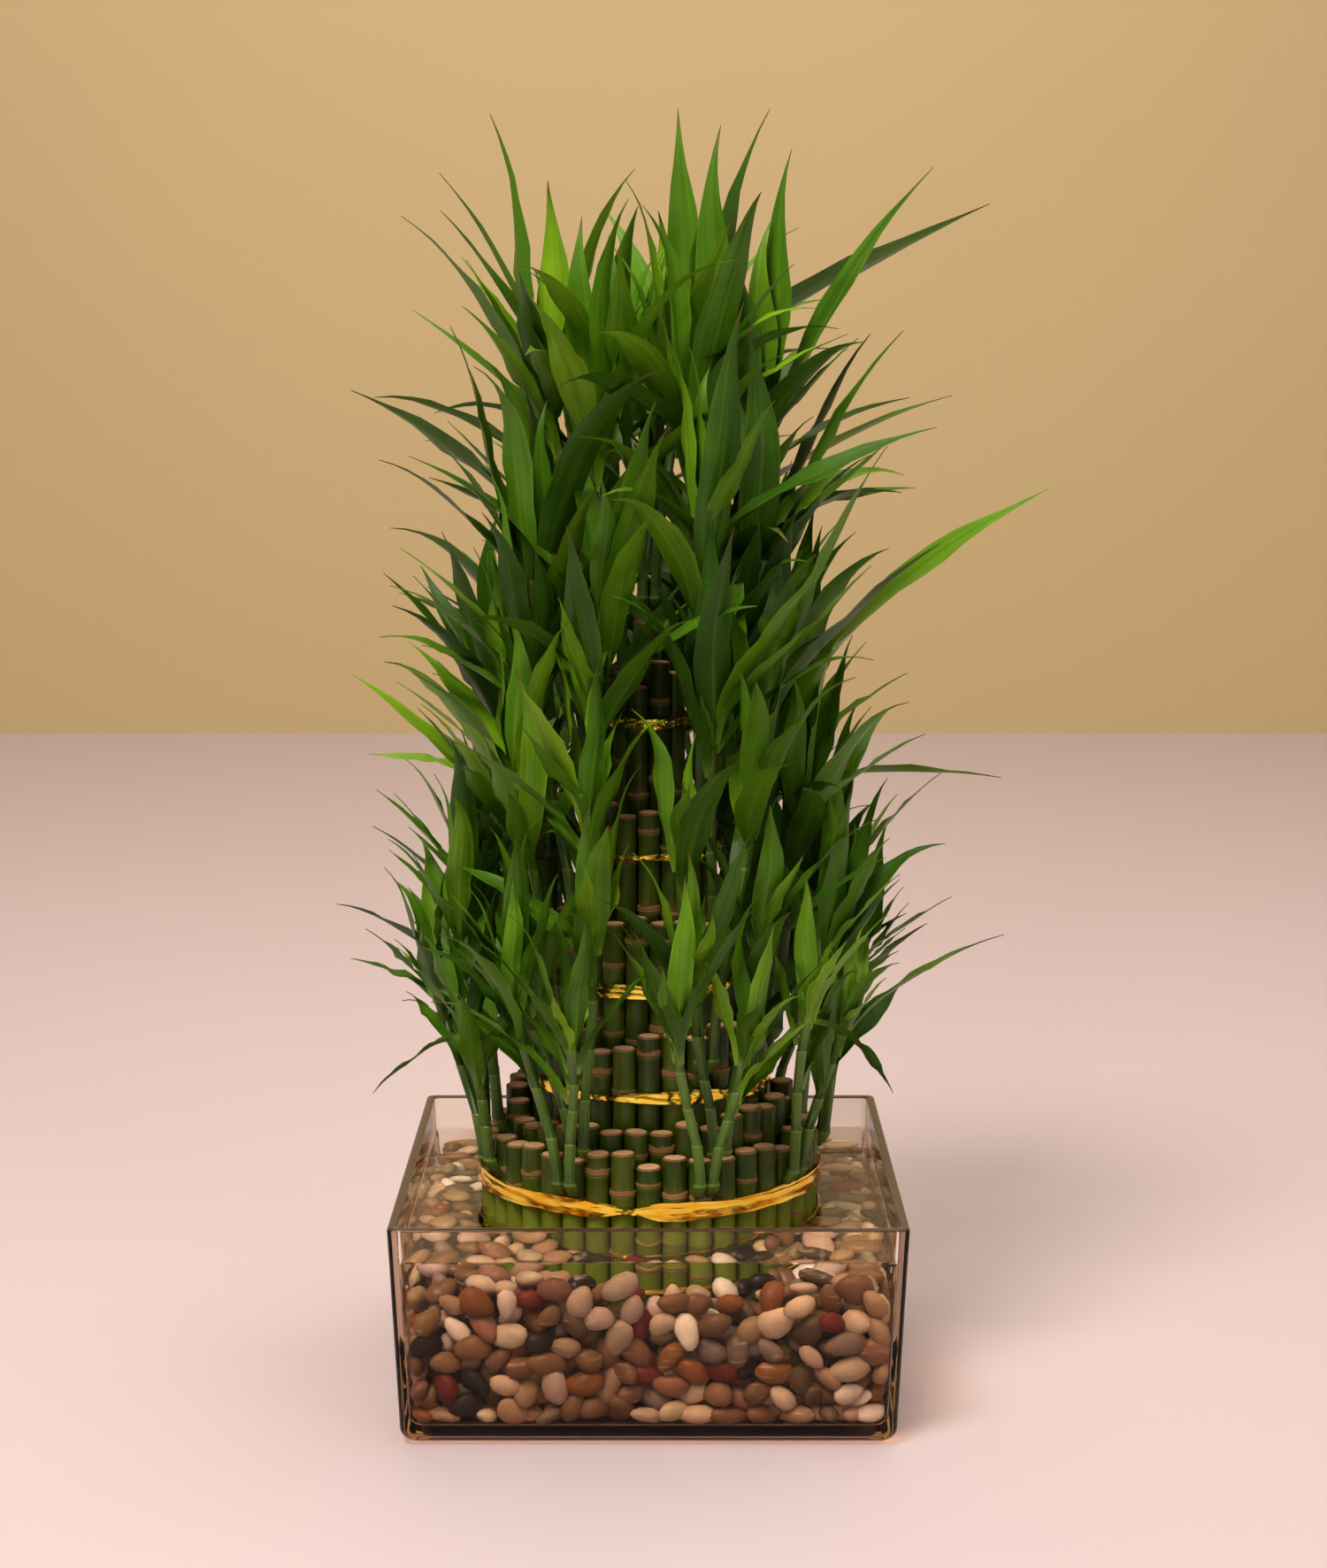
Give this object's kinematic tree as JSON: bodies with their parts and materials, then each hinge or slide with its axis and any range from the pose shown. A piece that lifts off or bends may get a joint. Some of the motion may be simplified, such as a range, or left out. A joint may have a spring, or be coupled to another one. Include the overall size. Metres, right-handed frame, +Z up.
{
  "type": "potted plant",
  "caption": "Lucky bamboo: a stepped bundle of cut canes with leafy shoots, tied with gold ribbon, standing in river pebbles and water in a low square glass bowl.",
  "frame": {"origin": "centre of the bowl's flat underside, on the surface it stands on", "axes": "+Z up along the canes, +X to the right of the bowl's front, -Y towards the viewer of the front"},
  "size_m": [0.3655, 0.3292, 0.6411],
  "materials": {
    "glass": "clear, smoky brown tint",
    "water": "clear still water",
    "pebble": "tumbled smooth, wet",
    "cane": "smooth green cane skin",
    "leaf": "waxy living leaf, satin",
    "foil": "crinkled gold foil ribbon"
  },
  "bodies": {
    "root": {"cane_centre": "cane", "cane_row_1": "cane", "cane_row_2": "cane", "cane_row_3": "cane", "cane_row_4": "cane", "cane_row_5": "cane", "cane_row_6": "cane", "glass_bowl": "glass", "pebble_bed": "pebble", "ribbon_tie_1": "foil", "ribbon_tie_2": "foil", "ribbon_tie_3": "foil", "ribbon_tie_4": "foil", "ribbon_tie_5": "foil", "ribbon_tie_low": "foil", "shoots_row_1_01": "leaf", "shoots_row_1_02": "leaf", "shoots_row_1_03": "leaf", "shoots_row_1_04": "leaf", "shoots_row_1_05": "leaf", "shoots_row_1_06": "leaf", "shoots_row_1_07": "leaf", "shoots_row_1_08": "leaf", "shoots_row_1_09": "leaf", "shoots_row_2_01": "leaf", "shoots_row_2_02": "leaf", "shoots_row_2_03": "leaf", "shoots_row_2_04": "leaf", "shoots_row_2_05": "leaf", "shoots_row_2_06": "leaf", "shoots_row_2_07": "leaf", "shoots_row_3_01": "leaf", "shoots_row_3_02": "leaf", "shoots_row_3_03": "leaf", "shoots_row_3_04": "leaf", "shoots_row_3_05": "leaf", "shoots_row_3_06": "leaf", "shoots_row_4_01": "leaf", "shoots_row_4_02": "leaf", "shoots_row_4_03": "leaf", "shoots_row_4_04": "leaf", "shoots_row_4_05": "leaf", "shoots_row_5_01": "leaf", "shoots_row_5_02": "leaf", "shoots_row_5_03": "leaf", "shoots_row_5_04": "leaf", "shoots_row_6_01": "leaf", "shoots_row_6_02": "leaf", "shoots_row_6_03": "leaf", "shoots_row_7_01": "leaf", "water": "water"}
  },
  "joints": []
}
